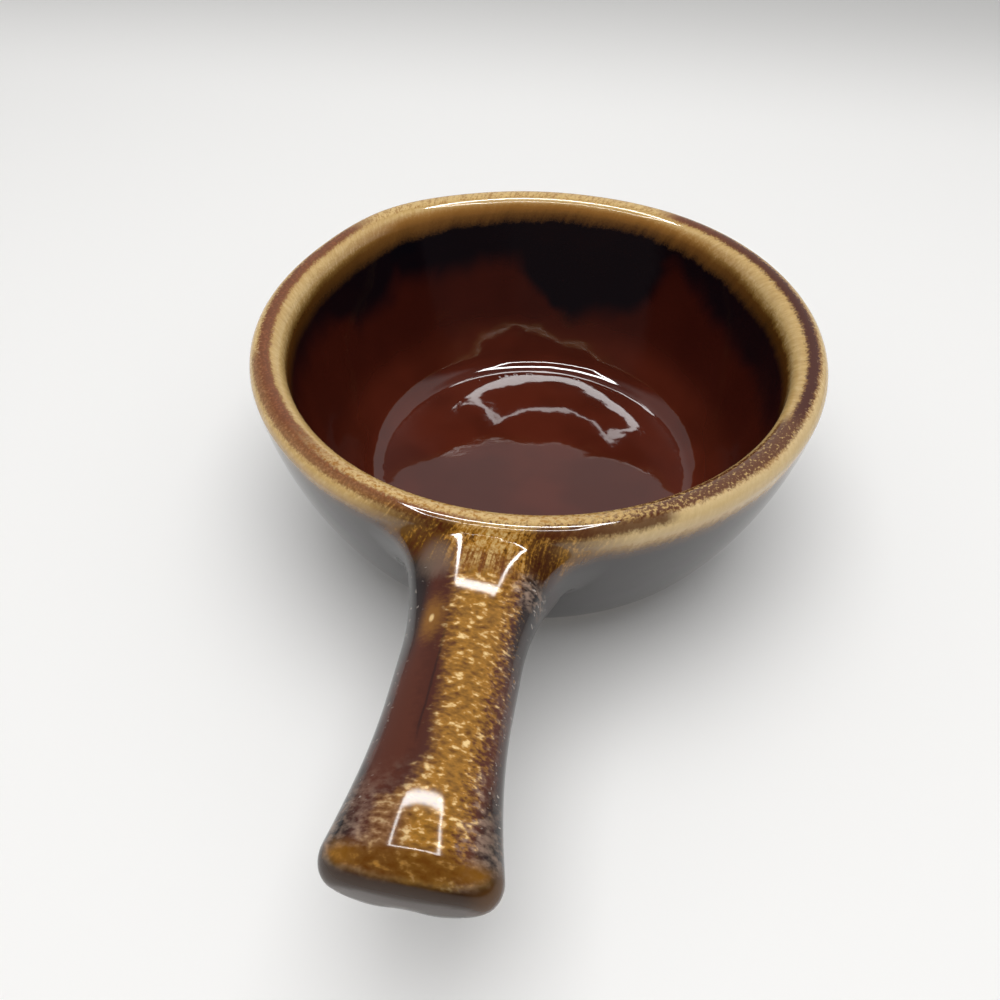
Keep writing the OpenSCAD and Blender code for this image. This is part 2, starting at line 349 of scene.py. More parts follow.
# It grows from its low share to its full width between these heights
FILLET_LOW_Z, FILLET_HIGH_Z = 30 * MM, 43 * MM
# The handle's sides go on spreading inside the rim, over this share of the spread's length
SPREAD_INSIDE = 0.6
# The handle's top stays this far below the rim's crest
CREST_CLEAR = 0.05 * MM


class Coat:
    """The whole glazed surface, bowl and handle in one, as a signed distance in metres."""

    def __init__(self, bowl, handle):
        self.bowl, self.handle = bowl, handle
        self.section = Section(bowl)

    def handle_gap(self, x, y, z):
        """Signed distance from the handle alone."""
        bowl, handle = self.bowl, self.handle
        y = y + handle.aside
        past_rim = x - bowl.rim_r
        waist_x, cap_x = bowl.rim_r + handle.waist_l, handle.end_x - handle.end_r
        swell = np.clip((x - waist_x) / (cap_x - waist_x), 0, None) ** 2
        spread = (1 - np.clip(past_rim / handle.spread_l, -SPREAD_INSIDE, 1)) ** 2
        fall = (1 - np.clip(past_rim / handle.fall_l, 0, 1)) ** 2
        bow = handle.saddle_bow * (1 - np.exp(-(y / handle.saddle_w) ** 2))
        ahead = handle.saddle_l - bow - past_rim
        climb = handle.saddle_soft * np.logaddexp(0, ahead / handle.saddle_soft) * math.tan(handle.saddle)
        top = bowl.height - handle.drop
        half_w = (handle.waist_w + (handle.end_w - handle.waist_w) * swell) / 2 + handle.spread * spread
        dome = np.clip(x - (handle.end_x - handle.dome_l), 0, None) ** 2 / (2 * handle.dome_r)
        high = np.minimum(top + climb, bowl.height - CREST_CLEAR) - dome
        low = top - handle.waist_t - (handle.end_t - handle.waist_t) * swell - handle.fall * fall
        middle = low + (high - low) * handle.belly
        half_h = np.where(z > middle, high - middle, middle - low)
        groove = np.cos(np.clip(y / handle.groove_w, -0.5, 0.5) * math.pi) ** 2 * handle.groove_d
        height = z - middle - np.where(z < middle, groove, 0)
        p = handle.power + (handle.root_power - handle.power) * np.minimum(spread, 1)
        u, v = np.abs(y) / half_w, np.abs(height) / half_h
        # Kept off the section's middle, where its slope is lost
        level = np.maximum((u ** p + v ** p) ** (1 / p), 0.05)
        slope = np.hypot(u ** (p - 1) / half_w, v ** (p - 1) / half_h) * level ** (1 - p)
        sides = (level - 1) / np.maximum(slope, 1.0)
        end = x - handle.end_x + (y * y + height * height) / (2 * handle.end_curve)
        a, b = sides + handle.end_r, end + handle.end_r
        gap = np.hypot(np.maximum(a, 0), np.maximum(b, 0)) + np.minimum(np.maximum(a, b), 0) - handle.end_r
        wall = self.outer_gap(np.hypot(x, y), z)
        return np.maximum(np.maximum(gap, -(wall + handle.bite)), self.section.floor_r - x)

    def unevenness(self, turn):
        """How far the rim bulges in a direction from the handle."""
        bowl = self.bowl

        def bell(centre, half):
            return np.exp(-(((turn - centre + math.pi) % (2 * math.pi) - math.pi) / half) ** 2)

        bulge = bowl.bulge * bell(bowl.bulge_turn, bowl.bulge_half)
        return bulge - bowl.flat * bell(bowl.flat_turn, bowl.flat_half)

    def dome_gap(self, r, z):
        """Signed distance from the low dome of the floor."""
        bowl = self.bowl
        top = bowl.floor_z + bowl.dome * (1 - DOME_FALL * (r / bowl.floor_r) ** 2)
        return np.maximum(np.maximum(z - top, bowl.floor_z - DOME_SUNK - z), r - bowl.floor_r)

    def outer_gap(self, r, z):
        """Signed distance from the circle that the outer side follows."""
        return np.hypot(r - self.section.side[0], z - self.section.side[1]) - self.section.side_r

    def measure(self, points):
        """Gap to the coat, run from the rim's crest and reach past the bowl's own surface."""
        bowl, low = self.bowl, self.handle.low_blend
        x, y, z = points[..., 0], points[..., 1], points[..., 2]
        r = np.hypot(x, y) - self.unevenness(np.arctan2(y, x)) * np.clip(z / bowl.height, 0, 1) ** 2
        own, run = self.section.measure(r, z)
        own = soft_min(own, self.dome_gap(r, z), DOME_SOFT)
        width = self.handle.blend * smooth(self.outer_gap(r, z), -FILLET_SUNK, 0)
        width = width * smooth(z, bowl.height - FILLET_NONE, bowl.height - FILLET_FULL)
        width = width * (low + (1 - low) * smooth(z, FILLET_LOW_Z, FILLET_HIGH_Z))
        gap = soft_min(own, self.handle_gap(x, y, z), width)
        gap = -soft_min(-gap, z - bowl.foot_h, FOOT_SOFT)
        return gap, run, own

    def gap(self, points):
        """Gap to the coat alone."""
        return self.measure(points)[0]

    def slope(self, points, step=0.05 * MM):
        """Direction in which the gap grows."""
        out = np.empty_like(points)
        for axis in range(3):
            shift = np.zeros(3)
            shift[axis] = step
            out[:, axis] = self.gap(points + shift) - self.gap(points - shift)
        return out / (2 * step)


def net_surface(gap, low, step):
    """Quad mesh round the part of a grid where the gap is negative, as points and faces."""
    inside = gap < 0
    cells = np.zeros(np.array(gap.shape) - 1, dtype=np.int8)
    ends = (slice(None, -1), slice(1, None))
    for i in ends:
        for j in ends:
            for k in ends:
                cells += inside[i, j, k]
    crossed = (cells > 0) & (cells < 8)
    index = np.full(cells.shape, -1, dtype=np.int64)
    index[crossed] = np.arange(crossed.sum())
    points = low + (np.argwhere(crossed) + 0.5) * step
    faces = []
    for axis in range(3):
        order = (axis, (axis + 1) % 3, (axis + 2) % 3)
        flags, ids = inside.transpose(order), index.transpose(order)
        near, far = flags[:-1, 1:-1, 1:-1], flags[1:, 1:-1, 1:-1]
        corners = [ids[:, :-1, :-1], ids[:, 1:, :-1], ids[:, 1:, 1:], ids[:, :-1, 1:]]
        for pick, ring in ((near & ~far, corners), (far & ~near, corners[::-1])):
            faces.append(np.stack([c[pick] for c in ring], axis=1))
    return points, np.concatenate(faces)


def settle(coat, points, faces, rounds):
    """Evens out the points of a mesh and lays them on the coat."""
    pairs = np.concatenate([faces[:, [i, (i + 1) % 4]] for i in range(4)])
    pairs = np.unique(np.sort(pairs, axis=1), axis=0)
    a, b = pairs[:, 0], pairs[:, 1]
    many = len(points)
    count = np.bincount(pairs.ravel(), minlength=many)
    for turn in range(rounds + 1):
        if turn:
            sums = [np.bincount(a, points[b, k], many) + np.bincount(b, points[a, k], many) for k in range(3)]
            points = np.stack(sums, axis=1) / count[:, None]
        for _ in range(2):
            slope = coat.slope(points)
            points = points - slope * (coat.gap(points) / np.maximum((slope * slope).sum(1), 0.2))[:, None]
    return points


def add_piece(name, mesh, nodes):
    """Object for a finished mesh, riding on the body and standing for the given nodes."""
    piece = bpy.data.objects.new(name, mesh)
    bpy.context.scene.collection.objects.link(piece)
    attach(piece, BODY)
    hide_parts(*nodes)
    return piece


# Materials


class Graph:
    """A node tree, with short ways to add what the glazes, the turned pieces and the sky need."""

    def __init__(self, tree):
        self.tree = tree
        tree.nodes.clear()

    def add(self, kind, inputs=(), **settings):
        node = self.tree.nodes.new(kind)
        for key, value in settings.items():
            setattr(node, key, value)
        for key, value in dict(inputs).items():
            self.put(node.inputs[key], value)
        return node

    def put(self, socket, value):
        if isinstance(value, bpy.types.NodeSocket):
            self.tree.links.new(value, socket)
        elif socket.type == "RGBA":
            socket.default_value = (*value, 1.0)
        else:
            socket.default_value = value

    def math(self, operation, a, b=0.0, c=0.0):
        return self.add("ShaderNodeMath", {0: a, 1: b, 2: c}, operation=operation).outputs[0]

    def times(self, first, *others):
        """Product of all the values."""
        for other in others:
            first = self.math("MULTIPLY", first, other)
        return first

    def plus(self, first, *others):
        """Sum of all the values."""
        for other in others:
            first = self.math("ADD", first, other)
        return first

    def line(self, value, gain, base):
        """Value times a gain, plus a base."""
        return self.math("MULTIPLY_ADD", value, gain, base)

    def size_of(self, value):
        """Value without its sign."""
        return self.math("ABSOLUTE", value)

    def rest(self, value):
        """What a share leaves of one."""
        return self.math("SUBTRACT", 1.0, value)

    def step(self, value, low, high, start=0.0, end=1.0):
        """Smooth step from start at low to end at high, which may lie the other way round."""
        return self.add("ShaderNodeMapRange", {"Value": value, "From Min": low, "From Max": high,
                                               "To Min": start, "To Max": end},
                        interpolation_type="SMOOTHSTEP").outputs["Result"]

    def band(self, value, low, high, soft):
        """One between low and high, with soft ends."""
        return self.times(self.step(value, low - soft, low + soft),
                          self.step(value, high + soft, high - soft))

    def noise(self, vector, scale, detail=2.0, rough=0.5, warp=0.0, out="Fac"):
        return self.add("ShaderNodeTexNoise", {"Vector": vector, "Scale": scale, "Detail": detail,
                                               "Roughness": rough, "Distortion": warp}).outputs[out]

    def spread(self, value, amount):
        """A noise value as a push of up to half the amount each way."""
        return self.line(value, amount, -amount / 2)

    def pushed(self, value, *pushes):
        """A value pushed to and fro by pairs of a noise and an amount."""
        return self.plus(value, *(self.spread(noise, amount) for noise, amount in pushes))

    def lay(self, under, over, *shares):
        """A colour laid over another, by the product of the shares."""
        return self.add("ShaderNodeMix", {"Factor": self.times(*shares), 6: under, 7: over},
                        data_type="RGBA").outputs[2]

    def ladder(self, value, rungs):
        """Colour and cover by a value that climbs through rungs of (value, colour, cover)."""
        low, high = rungs[0][0], rungs[-1][0]
        part = self.add("ShaderNodeMapRange", {"Value": value, "From Min": low, "From Max": high})
        node = self.add("ShaderNodeValToRGB", {"Fac": part.outputs["Result"]})
        points = node.color_ramp.elements
        while len(points) < len(rungs):
            points.new(1.0)
        for point, (at, tone, cover) in zip(points, rungs):
            point.position = (at - low) / (high - low)
            point.color = (*tone, cover)
        return node.outputs["Color"], node.outputs["Alpha"]

    def ramp(self, value, stops):
        """Colour by a value that climbs through stops of (value, colour)."""
        return self.ladder(value, [(at, tone, 1.0) for at, tone in stops])[0]

    def vector(self, x, y, z):
        return self.add("ShaderNodeCombineXYZ", {0: x, 1: y, 2: z}).outputs[0]

    def split(self, vector):
        return self.add("ShaderNodeSeparateXYZ", {0: vector}).outputs

    def vector_math(self, operation, a, b=(0, 0, 0), out="Vector"):
        return self.add("ShaderNodeVectorMath", {0: a, 1: b}, operation=operation).outputs[out]

    def place(self):
        """Where a point of the surface lies, in millimetres."""
        spot = self.add("ShaderNodeTexCoord").outputs["Object"]
        return self.vector_math("MULTIPLY", spot, (1 / MM, 1 / MM, 1 / MM))

    def lobe(self, way, turn, half):
        """One in a direction round the bowl, fading to nothing at half the lobe's width, in degrees."""
        aim = (math.cos(math.radians(turn)), math.sin(math.radians(turn)), 0.0)
        near = self.vector_math("DOT_PRODUCT", way, aim, "Value")
        return self.step(near, math.cos(math.radians(half)), 1.0)

    def from_spot(self, x, y, spot, squeeze=1.0):
        """Distance in plan from a spot, squeezed along the handle."""
        along = self.times(self.plus(x, -spot[0]), squeeze)
        return self.vector_math("LENGTH", self.vector(along, self.plus(y, -spot[1]), 0.0), out="Value")

    def bump(self, height, strength, distance):
        return self.add("ShaderNodeBump", {"Strength": strength, "Distance": distance,
                                           "Height": height}).outputs[0]

    def finish(self, skin):
        """Sends a shader to the material's output."""
        self.add("ShaderNodeOutputMaterial", {"Surface": skin.outputs[0]})

    def principled(self, tone, roughness, **settings):
        return self.add("ShaderNodeBsdfPrincipled", {"Base Color": tone, "Roughness": roughness, **settings})


def new_material(name):
    """A blank material, and the graph to fill it."""
    material = bpy.data.materials.new(name)
    material.use_nodes = True
    return material, Graph(material.node_tree)


def dimmed(tone, by):
    """A colour times a share."""
    return [channel * by for channel in tone]


GLAZE_IOR = 1.5
# Stretches of the rim, as the direction from the handle and half the width, in degrees
FAR_RIM, RIGHT_RIM, LEFT_RIM = (186, 80), (85, 80), (-95, 85)
BARE_CREST, SPECKED_CREST, GOLDEN_SPECKS = (193, 52), (33, 40), (0, 42)
BROWN_WEDGE, ASHEN_BAND, LOW_BAND = (-38, 38), (45, 45), (42, 55)
BROWN_RILL, NEAR_LIP, ROOT_FLOW = (20, 15), (-8, 40), (0, 26)
# Tones of the tan glaze by the run from the crest, in millimetres and + outside, with its cover
RIM_TONES = (
    (-11.0, "amber", 0.0), (-8.4, "amber", 0.7), (-6.8, "amber", 1.0), (-5.6, "olive", 1.0),
    (-4.6, "tan", 1.0), (-3.2, "tan_light", 1.0), (-2.0, "tan", 1.0), (-1.5, "tan_dark", 1.0),
    (-1.1, "crest", 1.0), (0.5, "crest", 1.0), (0.9, "tan_dark", 1.0), (2.0, "tan_light", 1.0),
    (4.4, "tan", 1.0), (6.2, "olive", 1.0), (7.8, "amber", 0.65), (9.8, "amber", 0.0))
# Black runs inside, as the direction, half the width and how far they run down, in millimetres
BLACK_RUNS = ((-116, 13, 7.0), (-95, 60, 5.0), (106, 48, 12.0), (170, 23, 22.0), (203, 36, 9.0))
BLACK_EDGE = 9.5
DUSKY_SIDE = (105, 75)
# Radius of the ring on which the streaks are drawn, and how far they lean, per millimetre of run
STREAK_R, STREAK_LEAN = 62.0, 0.5
# Spots on the handle, as places along and across it, in millimetres
# The shoulder spot places a painted reflection, a milky grey sheen
DRIP, CRUMBS, BROWN_HOLLOW, SHEEN_SHOULDER = (82.545, -6.4), (73.5, 9.5), (68.5, 12.2), (70.8, -8.0)
DRIP_SQUEEZE = 0.55


def glaze_field(g):
    """Where a point of the glaze lies, in millimetres, and the noises that its patterns share."""
    place = g.place()
    x, y, z = g.split(place)
    run, reach = (g.add("ShaderNodeAttribute", attribute_name=name).outputs["Fac"]
                  for name in ("run", "reach"))
    flat = g.vector_math("MULTIPLY", place, (1, 1, 0))
    swirl = g.vector_math("ADD", g.noise(place, scale=0.045, out="Color"), (-0.5, -0.5, -0.5))
    wander = g.vector_math("MULTIPLY", swirl, (22, 22, 0))
    way = g.vector_math("NORMALIZE", flat)
    bent = g.vector_math("NORMALIZE", g.vector_math("ADD", flat, wander))
    way_x, way_y, _ = g.split(way)
    lean = g.times(run, STREAK_LEAN)
    ring_x = g.line(way_x, STREAK_R, g.times(way_y, lean, -1.0))
    ring_y = g.line(way_y, STREAK_R, g.times(way_x, lean))

    def streaks(down, **noise):
        """Noise drawn out down the wall, by its pace along the run."""
        return g.noise(g.vector(ring_x, ring_y, g.times(run, down)), **noise)

    def dashes(along, across, **noise):
        """Noise drawn out across the handle, by its pace along and across it."""
        return g.noise(g.vector(g.times(x, along), g.times(y, across), g.times(z, across)), **noise)

    hair = streaks(0.3, scale=1.3, detail=3.0, rough=0.6)
    grain = g.noise(place, scale=1.7, rough=0.6)
    mottle = dashes(0.9, 0.5, scale=1.1)
    fine = dashes(1.0, 0.5, scale=1.9, rough=0.55)
    return SimpleNamespace(
        place=place, x=x, y=y, z=z, aside=g.size_of(y), run=run, reach=reach, way=way, bent=bent,
        hair=hair, tuft=streaks(0.15, scale=0.45), slow=streaks(0.0, scale=0.07),
        blot=streaks(0.6, scale=0.09, detail=3.0, warp=0.5), grain=grain,
        streak=g.plus(g.times(hair, 0.6), g.times(grain, 0.4)),
        mottle=mottle, fine=fine, mixed=g.plus(g.times(mottle, 0.72), g.times(fine, 0.28)),
        dash=dashes(1.0, 0.45, scale=1.9, detail=1.0),
        patch=g.noise(place, scale=0.22, detail=3.0, rough=0.6))


def rim_glaze(g, f, look):
    """Colour of the tan glaze over the lip, and how far it covers the brown."""
    run = f.run
    far, right, left = (g.lobe(f.bent, *stretch) for stretch in (FAR_RIM, RIGHT_RIM, LEFT_RIM))

    def strip(low, high, soft, *pushes):
        """Band of the run over the lip, with edges that noises push to and fro."""
        return g.band(g.pushed(run, *pushes), low, high, soft)

    # Tones by the run over the lip, with ragged edges that hang lower on some sides
    loose = g.times(g.step(g.size_of(run), 2.0, 6.0), g.line(left, -0.6, 1.0))
    tufts = g.pushed(g.spread(f.tuft, 2.4), (f.hair, 1.0))
    outer = g.times(g.step(run, 2.0, 5.0), g.lobe(f.way, *LOW_BAND), -1.6)
    inner = g.plus(g.times(right, 2.5), g.times(left, 1.5), g.times(far, -1.9))
    ragged = g.pushed(run, (f.grain, 1.8), (f.slow, 1.8))
    ragged = g.plus(ragged, g.times(loose, tufts), outer, g.times(g.step(run, -2.0, -6.0), inner))
    rim, cover = g.ladder(ragged, [(at, getattr(look, tone), part) for at, tone, part in RIM_TONES])
    pure = g.band(ragged, -5.0, 4.6, 0.8)
    rim = g.lay(rim, look.tan_dark, g.step(f.streak, 0.51, 0.38), pure, 0.25)
    rim = g.lay(rim, look.tan_pale, g.step(f.streak, 0.50, 0.64), pure, 0.42)
    rim = g.lay(rim, look.honey, g.step(run, -2.2, -4.6), far, 0.85)

    # Brown line along the crest: none at the far side, dark on the right, specked with gold near the handle
    behind = g.step(g.lobe(f.bent, *BARE_CREST), 0.05, 0.6)
    bare = g.lay(look.tan_light, look.tan_dark, g.step(f.streak, 0.44, 0.60), 0.8)
    rim = g.lay(rim, bare, behind, g.band(ragged, -2.0, 1.2, 0.4))
    near = g.step(g.lobe(f.way, *SPECKED_CREST), 0.0, 0.3)
    speck = g.pushed(g.noise(f.place, scale=1.25, rough=0.6), (g.lobe(f.way, *GOLDEN_SPECKS), 0.18))
    brown = g.lay(look.crest, dimmed(look.crest, 1.5), g.step(f.grain, 0.42, 0.66))
    brown = g.lay(brown, look.crest_dark, right)
    brown = g.lay(brown, g.lay(look.crest_speck, look.tan, g.step(speck, 0.44, 0.62)), near)
    narrow = g.times(strip(-1.7, 0.9, 0.7, (f.grain, 2.2), (f.tuft, 1.2)), g.rest(behind))
    wide = g.times(near, strip(-3.6, 1.4, 0.6, (f.grain, 2.0)))
    wedge = g.step(g.lobe(f.way, *BROWN_WEDGE), 0.0, 0.35)
    wedge = g.times(wedge, strip(-0.8, 2.6, 0.6, (f.grain, 1.6)), 0.85)
    rim = g.lay(rim, brown, g.math("MAXIMUM", narrow, g.math("MAXIMUM", wide, wedge)))
    ashen = g.times(g.lobe(f.way, *ASHEN_BAND), g.band(ragged, 1.6, 5.0, 0.8))
    rim = g.lay(rim, dimmed(look.tan_pale, 0.8), ashen, 0.6)
    sprinkle = g.step(g.noise(f.place, scale=1.3, detail=3.0, rough=0.6), 0.34, 0.58)
    sprinkle = g.lay(look.gold, look.tan_light, sprinkle)
    rim = g.lay(rim, sprinkle, g.lobe(f.way, *NEAR_LIP), strip(-7.0, 0.2, 0.6, (f.grain, 2.0)))

    # Streaked gold where the rim runs on to the handle, brown towards its sides, and a brown rill beside it
    flow = g.plus(f.streak, g.step(f.y, -2.0, -9.0, end=-0.18), g.step(f.y, 5.0, 11.0, end=-0.13))
    root_gold = g.ramp(flow, [(0.22, look.crest_dark), (0.37, look.amber), (0.47, look.gold),
                              (0.56, look.tan), (0.67, look.tan_light)])
    rim = g.lay(rim, root_gold, g.lobe(f.way, *ROOT_FLOW), g.step(run, 0.5, 2.5))
    rill = strip(0.8, 3.4, 0.8, (f.grain, 1.6), (f.tuft, 2.0))
    rim = g.lay(rim, look.crest_dark, g.step(g.lobe(f.way, *BROWN_RILL), 0.0, 0.6), rill, 0.85)
    return rim, cover


def wall_glaze(g, f, look):
    """Colour of the brown glaze below the rim: black runs and dusk inside, black-brown outside."""
    run = f.run
    depth = BLACK_EDGE
    for turn, half, down in BLACK_RUNS:
        depth = g.line(g.lobe(f.bent, turn, half), down, depth)
    level = g.pushed(g.plus(run, depth), (f.blot, 9.0))
    cloud = g.noise(f.place, scale=0.05)
    inside = g.lay(look.liner, dimmed(look.liner, 0.75), g.step(cloud, 0.35, 0.65))
    dusk = g.plus(g.step(run, -44.0, -34.0, end=0.62), g.step(run, -26.0, -10.0, end=0.2))
    inside = g.lay(inside, look.dusk, dusk)
    inside = g.lay(inside, look.dusk, g.lobe(f.bent, *DUSKY_SIDE), g.step(run, -46.0, -36.0), 0.35)
    inside = g.lay(inside, look.shade, g.step(level, -6.0, 2.5), g.step(run, 0.0, -2.0))
    return g.lay(inside, look.outside, g.step(run, -2.0, 2.0))


def handle_glaze(g, f, look):
    """Colour of the handle: milky brown top, black sides and a golden stripe mottled with pale flecks."""
    x, y, aside, mixed, patch = f.x, f.y, f.aside, f.mixed, f.patch
    top = g.step(g.pushed(f.z, (patch, 3.0)), 37.0, 41.0)
    fan = g.step(g.pushed(x, (patch, 7.0)), 110.0, 121.0)

    # The stripe's left edge slants towards the end and jumps out in a fan there
    left = g.line(fan, -9.0, g.line(g.plus(x, -72.0), 0.12, -4.5))
    from_left = g.math("SUBTRACT", g.pushed(y, (patch, 2.4), (f.mottle, 3.6)), left)
    from_right = g.math("SUBTRACT", g.pushed(7.4, (patch, 3.0), (f.fine, 9.0)), y)
    stripe = g.times(g.step(from_left, -1.6, 2.0), g.step(from_right, -1.8, 1.8), top)
    thin = g.rest(g.times(fan, g.step(y, 0.5, -3.5), 0.65))
    gold = g.ramp(mixed, [(0.30, look.gold_dark), (0.45, dimmed(look.gold, 0.68)), (0.55, look.gold),
                          (0.655, look.gold_light)])

    # Brown top with a dusky edge along the stripe, a dark seam and a drip
    tone = g.lay(look.outside, look.grip, g.step(g.size_of(g.pushed(y, (patch, 4.0))), 12.0, 8.5), top)
    tone = g.lay(tone, look.dusk, g.band(from_left, -3.5, 0.8, 1.5), top, 0.35)
    seam = g.times(g.band(g.pushed(y, (patch, 0.8)), -3.5, -3.1, 0.15), g.band(x, 76.0, 106.0, 3.0))
    tone = g.lay(tone, look.shade, seam, top, 0.45)
    drip = g.from_spot(x, y, DRIP, DRIP_SQUEEZE)
    tone = g.lay(tone, look.gold, g.step(g.pushed(drip, (f.fine, 2.0)), 3.6, 0.4), top, 0.5)
    tone = g.lay(tone, look.gold_light, g.step(drip, 0.6, 0.2), top, 0.8)

    # Flecks over the fan, along the right margin and beside the root
    spread_out = g.step(g.pushed(x, (patch, 9.0)), 109.0, 123.0)
    tone = g.lay(tone, look.fleck_and_sheen, g.step(mixed, 0.36, 0.70), spread_out, top, 0.44)
    margin = g.times(g.band(y, 6.0, 9.5, 2.0), g.step(x, 108.0, 116.0, 0.26, 0.56))
    tone = g.lay(tone, look.fleck_and_sheen, g.step(mixed, 0.42, 0.68), margin, top)
    tone = g.lay(tone, look.outside, g.step(aside, 7.0, 9.5), g.step(x, 96.0, 84.0), 0.85)
    tone = g.lay(tone, gold, stripe, thin)
    crumbs = g.times(g.step(g.from_spot(x, y, CRUMBS), 4.6, 1.0), g.step(mixed, 0.40, 0.64))
    tone = g.lay(tone, look.fleck_and_sheen, crumbs, top, 0.55)

    # Amber over the end's edge, which bends down towards the sides, above a dark face
    end_x = g.pushed(x, (patch, 2.0))
    end_z = g.line(g.times(y, y), 0.013, g.pushed(f.z, (patch, 1.4)))
    amber = g.ramp(mixed, [(0.38, look.gold_dark), (0.56, look.end_gold), (0.74, look.gold)])
    amber = g.lay(amber, look.gold, g.step(aside, 6.0, 11.0), 0.4)
    tone = g.lay(tone, amber, g.step(end_x, 122.5, 125.5), g.step(end_z, 42.4, 43.8), 0.92)
    tone = g.lay(tone, look.tan, g.step(x, 124.0, 126.0), g.band(end_z, 42.5, 43.1, 0.5), 0.25)
    face = g.lay(look.outside, look.amber, 0.28)
    face = g.lay(face, look.end_gold, g.step(y, 8.0, 13.0), 0.45)
    tone = g.lay(tone, face, g.step(end_x, 121.5, 124.5), g.step(end_z, 43.7, 41.9))
    sides = g.times(g.step(aside, 7.5, 11.5), g.step(x, 122.0, 118.0))
    return g.lay(tone, look.mote, g.step(f.dash, 0.68, 0.73), sides, 0.65)


def glaze_material(look):
    """Brown glaze with a tan rim, black runs inside and a golden, flecked stripe along the handle."""
    material, g = new_material("brown_drip_glaze")
    f = glaze_field(g)
    rim, cover = rim_glaze(g, f, look)
    root = g.step(g.pushed(f.reach, (f.tuft, 4.0), (f.hair, 3.0)), 3.5, 7.0)
    tone = g.lay(g.lay(wall_glaze(g, f, look), rim, cover), handle_glaze(g, f, look), root)

    # Marks round the root: a brown hollow on the right, streaks on the saddle and, on the left shoulder, a
    # painted reflection: a milky grey sheen
    hollow = g.pushed(g.from_spot(f.x, f.y, BROWN_HOLLOW), (f.streak, 4.0))
    tone = g.lay(tone, look.dusk, g.step(hollow, 4.0, 1.2), 0.65)
    saddle = g.times(g.band(g.pushed(f.x, (f.hair, 4.0)), 68.6, 72.4, 0.9),
                     g.step(g.size_of(g.plus(f.y, -1.0)), 7.0, 4.0))
    tone = g.lay(tone, look.crest, saddle, g.step(f.streak, 0.66, 0.40), 0.8)
    # Painted reflection: a milky grey sheen on the handle's left shoulder, in a dimmed fleck colour
    painted_sheen = g.pushed(g.from_spot(f.x, f.y, SHEEN_SHOULDER), (f.streak, 3.0))
    tone = g.lay(tone, dimmed(look.fleck_and_sheen, 0.45), g.step(painted_sheen, 4.8, 1.5), g.step(f.z, 40.0, 43.0), 0.55)

    # Slow waves in the coat, stronger inside, and gloss by place
    wave = g.plus(g.noise(f.place, 0.07, detail=1.0, rough=0.4),
                  g.times(g.noise(f.place, 0.25, detail=1.0, rough=0.4), 0.12))
    wave = g.times(wave, g.step(f.run, -6.0, -14.0, 1.0, 2.6))
    gloss = g.plus(g.step(f.run, -3.0, -8.0, 0.5, 0.8), g.step(f.run, 4.0, 9.0, end=0.3), g.times(root, -0.2))
    g.finish(g.principled(tone, g.line(root, look.wear, look.roughness), **{
        "Normal": g.bump(wave, 0.25, 0.5 * MM), "IOR": GLAZE_IOR, "Specular IOR Level": gloss}))
    return material


def clay_material(look):
    """Bare fired clay with a fine grain and brown iron specks."""
    material, g = new_material("bare_stoneware")
    place = g.place()
    cloud = g.noise(place, scale=0.12)
    tone = g.lay(look.clay, dimmed(look.clay, 0.78), g.step(cloud, 0.3, 0.7))
    tone = g.lay(tone, look.crest, g.step(g.noise(place, 0.9, detail=1.0, rough=0.4), 0.66, 0.72), 0.55)
    grain = g.bump(g.noise(place, 1.4, detail=4.0, rough=0.6), 0.5, 0.3 * MM)
    g.finish(g.principled(tone, 0.85, Normal=grain))
    return material


def base_material(look):
    """Brown glaze in the hollow of the foot, thinner and lighter at its edge."""
    material, g = new_material("base_glaze")
    place = g.place()
    away = g.vector_math("LENGTH", g.vector_math("MULTIPLY", place, (1, 1, 0)), out="Value")
    cloud = g.noise(place, 0.09, detail=3.0, rough=0.55)
    tone = g.lay(look.liner, look.outside, g.step(cloud, 0.35, 0.65))
    tone = g.lay(tone, look.amber, g.step(g.pushed(away, (cloud, 3.0)), 34.0, 37.5))
    g.finish(g.principled(tone, look.roughness, Normal=g.bump(cloud, 0.3, 0.4 * MM), IOR=GLAZE_IOR))
    return material


def floor_material(studio):
    """Pale table top, with painted shade that darkens it far behind the bowl, and clear from below."""
    material, g = new_material("pale_table")
    place = g.add("ShaderNodeTexCoord").outputs["Object"]
    tone = g.lay(studio.floor_tone, dimmed(studio.floor_tone, 0.985), g.step(g.noise(place, 1.5), 0.3, 0.7))
    # Painted shade: the table's tone darkens far behind the bowl
    tone = g.lay(tone, dimmed(studio.floor_tone, studio.far_floor_shade), g.step(g.split(place)[0], -0.22, -0.44))
    skin = g.principled(tone, 0.6, **{"Specular IOR Level": 0.2})
    clear = g.add("ShaderNodeBsdfTransparent")
    back = g.add("ShaderNodeNewGeometry").outputs["Backfacing"]
    g.finish(g.add("ShaderNodeMixShader", {0: back, 1: skin.outputs[0], 2: clear.outputs[0]}))
    return material


# Turned pieces, made by Geometry Nodes


